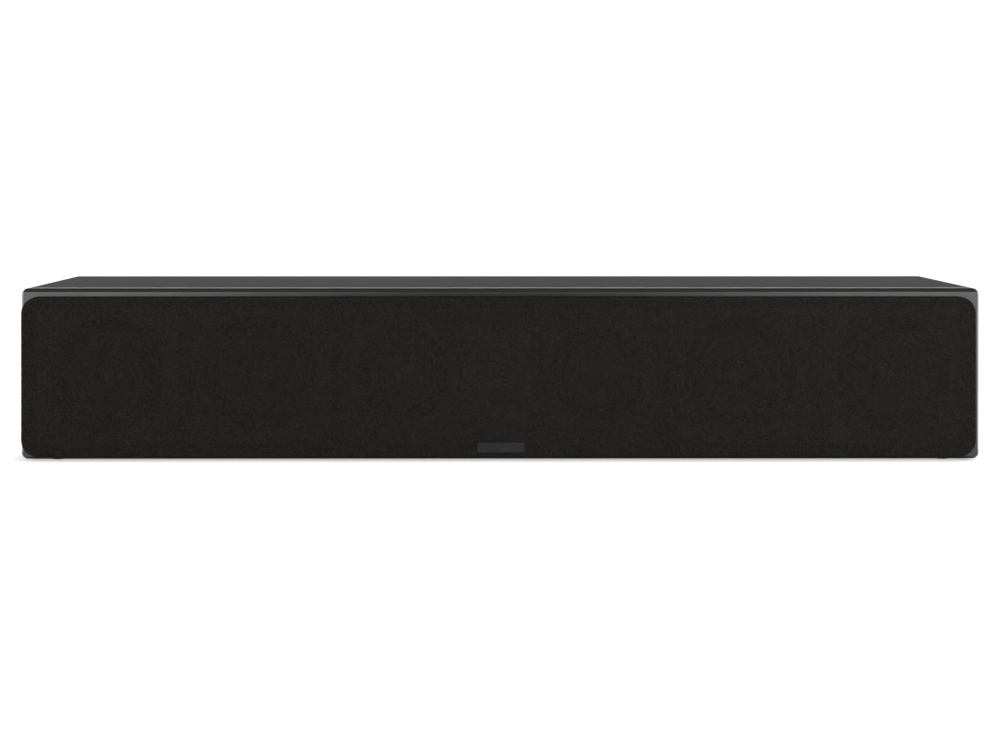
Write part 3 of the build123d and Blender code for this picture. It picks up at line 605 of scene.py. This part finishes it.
def grille_cloth():
    """Cloth stretched over the grille frame.

    Rings spread from the frame's middle line to the rounded outline, p = m + v (o - m) with v from 0 to 1.
    Past the outline the cloth rolls over the edge in a quarter circle, and goes straight back along the
    frame's side."""
    low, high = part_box("grille_cloth")
    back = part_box("grille_frame")[1].y - cloth_stand_off_mm * MM
    roll = cloth_roll_mm * MM
    middle_x, middle_z = middle(low, high)
    half_x = (high.x - low.x) / 2 - roll
    half_z = (high.z - low.z) / 2 - roll
    outline, normal = rounded_outline(half_x, half_z, cloth_corner_mm * MM - roll)
    spine = np.clip(outline[:, 0], half_z - half_x, half_x - half_z)
    spine = np.stack([spine, np.zeros(len(spine))], axis=-1)
    spread = np.linspace(0, 1, cloth_ring_steps)
    front = spine[:, None] + spread[None, :, None] * (outline - spine)[:, None]
    turn = np.linspace(0, pi / 2, cloth_roll_steps + 1)[1:]
    fall = np.linspace(low.y + roll, back, cloth_wall_steps + 1)[1:]
    reach = np.concatenate([roll * np.sin(turn), np.full(cloth_wall_steps, roll)])
    rim = outline[:, None] + reach[None, :, None] * normal[:, None]
    flat = np.concatenate([front, rim], axis=1)
    depth = np.concatenate([np.full(cloth_ring_steps, low.y), low.y + roll * (1 - np.cos(turn)), fall])
    points = np.empty((*flat.shape[:2], 3))
    points[..., 0] = middle_x + flat[..., 0]
    points[..., 1] = depth
    points[..., 2] = middle_z + flat[..., 1]
    cloth = grid_mesh("stretched_cloth", points)
    dress(cloth, "grille_cloth")
    modify(cloth, "WELD", merge_threshold=weld_mm * MM)
    modify(cloth, "SOLIDIFY", thickness=cloth_thickness_mm * MM, offset=-1.0)
    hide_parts("grille_cloth")
    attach(cloth, "grille")


def turned(name, outline, middle_x, middle_z, slot):
    """A closed outline of (radius, y) pairs turned about a front-back axis: x = r cos a, z = r sin a."""
    angle = np.linspace(0, 2 * pi, turn_steps, endpoint=False)
    points = np.empty((turn_steps, len(outline), 3))
    points[..., 0] = middle_x + np.outer(np.cos(angle), outline[:, 0])
    points[..., 1] = outline[:, 1]
    points[..., 2] = middle_z + np.outer(np.sin(angle), outline[:, 0])
    piece = grid_mesh(name, points, close_across=True)
    dress(piece, slot)
    return piece


def follow_radius(piece):
    """Bakes a turned piece's placement into its mesh and reads its points; the piece keeps its turned shape."""
    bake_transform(piece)
    place = np.empty(3 * len(piece.data.vertices))
    piece.data.vertices.foreach_get("co", place)
    place = place.reshape(-1, 3)


def rubber_roll(driver, kind):
    """Half roll of rubber between two flat lips.

    Its outline is two half circles, of the roll's radius and of that radius less the rubber's thickness,
    joined by the lips."""
    node = f"{driver}_surround"
    low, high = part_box(node)
    middle_x, middle_z = middle(low, high)
    roll = roll_width_mm[kind] * MM / 2
    lip = lip_mm * MM
    rubber = rubber_mm * MM
    outer = (high.x - low.x) / 2
    throat = outer - lip
    rim = throat - 2 * roll
    seat = high.y
    front = seat - rubber
    turn = np.linspace(0, pi, roll_steps + 1)
    arch = np.stack([throat - roll + roll * np.cos(turn), front - roll * np.sin(turn)], axis=-1)
    inside = roll - rubber
    hollow = np.stack([throat - roll - inside * np.cos(turn), front - inside * np.sin(turn)], axis=-1)
    outline = np.concatenate([
        [[outer, seat], [outer, front]],
        arch,
        [[rim - lip, front], [rim - lip, seat], [rim + rubber, seat]],
        hollow,
        [[throat - rubber, seat]],
    ])
    piece = turned(f"{driver}_roll", outline[::-1], middle_x, middle_z, "surround_rubber")
    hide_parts(node)
    follow_radius(piece)


def wavy_spider(driver, kind):
    """Pressed cloth disc with rings of waves.

    Its depth is y = m - a/2 (1 - cos(2 pi n s)), where s is the share of the way from the flat rim in to the
    former."""
    node = f"{driver}_spider"
    low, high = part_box(node)
    middle_x, middle_z = middle(low, high)
    outer = (high.x - low.x) / 2
    inner = former_radius_mm[kind] * MM
    waved = outer - spider_rim_mm * MM
    radius = np.linspace(outer, inner, spider_steps)
    share = np.clip((waved - radius) / (waved - inner), 0, 1)
    back = high.y - spider_wave_mm * MM / 2 * (1 - np.cos(2 * pi * spider_waves * share))
    rear_side = np.stack([radius, back], axis=-1)
    front_side = np.stack([radius, back - spider_cloth_mm * MM], axis=-1)[::-1]
    outline = np.concatenate([front_side, rear_side])
    piece = turned(f"{driver}_wavy_spider", outline, middle_x, middle_z, "spider_cloth")
    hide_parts(node)
    follow_radius(piece)


grille_cloth()
for kind, count in driver_counts.items():
    for number in range(1, count + 1):
        rubber_roll(f"{kind}_{number}", kind)
        wavy_spider(f"{kind}_{number}", kind)


def studio_paper():
    """Matt white paper: a pale ground that keeps a soft shadow, partly cast and partly painted into its glow,
    and sends light up at the object.

    It glows to the eye, as a lit backdrop does, and has a painted shadow where the cabinet stands: the glow's
    strength rises with the distance from an oblong inside the cabinet's footprint, |max(|p| - half, 0)|. For
    reflections this painted shade reaches further out and falls to almost nothing, so that they don't see the
    glow under the cabinet."""
    material, tree, place = blank("studio paper")
    path = add(tree, "LightPath").outputs
    mirrored = add(
        tree, "Math", {0: path["Is Glossy Ray"], 1: path["Is Transmission Ray"]},
        operation="ADD", use_clamp=True,
    ).outputs["Value"]
    seen = add(
        tree, "Math", {0: path["Is Camera Ray"], 1: mirrored}, operation="ADD", use_clamp=True
    ).outputs["Value"]
    side = add(tree, "VectorMath", {0: place}, operation="ABSOLUTE").outputs["Vector"]
    beyond = add(tree, "VectorMath", {0: side, 1: shaded_half}, operation="SUBTRACT").outputs["Vector"]
    beyond = add(tree, "VectorMath", {0: beyond}, operation="MAXIMUM").outputs["Vector"]
    distance = add(tree, "VectorMath", {0: beyond}, operation="LENGTH").outputs["Value"]
    # Painted shadow: the glow is dimmed near the cabinet, and for reflections further out and to almost
    # nothing
    distance = add(
        tree, "Math", {0: mirrored, 1: -mirrored_reach, 2: distance}, operation="MULTIPLY_ADD"
    ).outputs["Value"]
    painted_shadow_strength = add(
        tree, "Math", {0: mirrored, 1: painted_shadow_glow_mirrored - painted_shadow_glow, 2: painted_shadow_glow},
        operation="MULTIPLY_ADD",
    ).outputs["Value"]
    # Glow of the paper, with the painted shadow near the cabinet in it
    glow = add(
        tree, "MapRange",
        {"Value": distance, "From Min": 0.0, "From Max": shaded_reach, "To Min": painted_shadow_strength, "To Max": glow_most},
    ).outputs["Result"]
    strength = add(tree, "Math", {0: glow, 1: seen}, operation="MULTIPLY")
    matt = add(tree, "BsdfDiffuse", {"Color": linear("#e6e6e6")})
    light = add(tree, "Emission", {"Color": linear("#ffffff"), "Strength": strength.outputs["Value"]})
    paper = add(tree, "AddShader", {0: matt.outputs[0], 1: light.outputs[0]})
    add(tree, "OutputMaterial", {"Surface": paper.outputs[0]})
    return material


def studio_ground():
    """Floor, curve and low wall as one sheet turned about the Z axis: out along the floor, round a quarter
    circle, and up."""
    turn = np.linspace(0, pi / 2, ground_curve_steps + 1)
    wall_radius = floor_radius + ground_curve
    curve = floor_radius + ground_curve * np.sin(turn)
    radius = np.concatenate([[0, floor_radius / 2], curve, [wall_radius]])
    height = np.concatenate([[0, 0], ground_curve * (1 - np.cos(turn)), [wall_height]])
    angle = np.linspace(0, 2 * pi, ground_turn_steps, endpoint=False)
    points = np.empty((ground_turn_steps, len(radius), 3))
    points[..., 0] = np.outer(np.cos(angle), radius)
    points[..., 1] = np.outer(np.sin(angle), radius)
    points[..., 2] = height
    ground = grid_mesh("studio_ground", points)
    modify(ground, "WELD", merge_threshold=weld_mm * MM)
    ground.data.materials.append(studio_paper())


def dark_card():
    """A dark card behind the camera, for the lacquer to reflect: an upright oblong on the floor, not itself
    in the picture."""
    points = np.empty((2, 2, 3))
    points[..., 0] = [[-card_half_width], [card_half_width]]
    points[..., 1] = card_y
    points[..., 2] = [0.0, card_height]
    card = grid_mesh("dark_card", points, close_loop=False)
    material, tree = blank("dark flock")[:2]
    flock = add(tree, "BsdfDiffuse", {"Color": linear("#0c0c0c")})
    add(tree, "OutputMaterial", {"Surface": flock.outputs[0]})
    card.data.materials.append(material)
    card.visible_camera = False


def softbox(name, place, aim, size, watts):
    """An area lamp at a place, turned to shine at a point, and not itself in the picture."""
    lamp = bpy.data.lights.new(name, "AREA")
    lamp.shape = "RECTANGLE"
    lamp.size, lamp.size_y = size
    lamp.energy = watts
    holder = bpy.data.objects.new(name, lamp)
    holder.location = place
    holder.visible_camera = False
    bpy.context.scene.collection.objects.link(holder)
    ahead = np.array(aim) - np.array(place)
    tilt = np.arctan2(ahead[2], np.hypot(ahead[0], ahead[1]))
    holder.rotation_euler = (pi / 2 + tilt, 0, np.arctan2(ahead[1], ahead[0]) - pi / 2)


def studio():
    """Pale ground, dim grey room, a low panel on each side of the camera with a dark card between them, two
    small softboxes further round, and a soft key overhead."""
    studio_ground()
    world = bpy.data.worlds.new("dim room")
    world.use_nodes = True
    world.node_tree.nodes["Background"].inputs["Color"].default_value = linear("#ffffff")
    world.node_tree.nodes["Background"].inputs["Strength"].default_value = room_light
    bpy.context.scene.world = world
    dark_card()
    for name, (place, aim, size, watts) in lamps.items():
        softbox(name, place, aim, size, watts)
    bpy.context.scene.view_settings.view_transform = "Standard"


def camera():
    """The photograph's view: level, in front of the middle, and shifted down to take the object in."""
    data = bpy.data.cameras.new("camera")
    data.lens = camera_lens
    data.sensor_width = camera_sensor
    data.shift_x, data.shift_y = camera_shift
    holder = bpy.data.objects.new("camera", data)
    holder.location = camera_place
    holder.rotation_euler = camera_turn
    bpy.context.scene.collection.objects.link(holder)
    bpy.context.scene.camera = holder


studio()
camera()
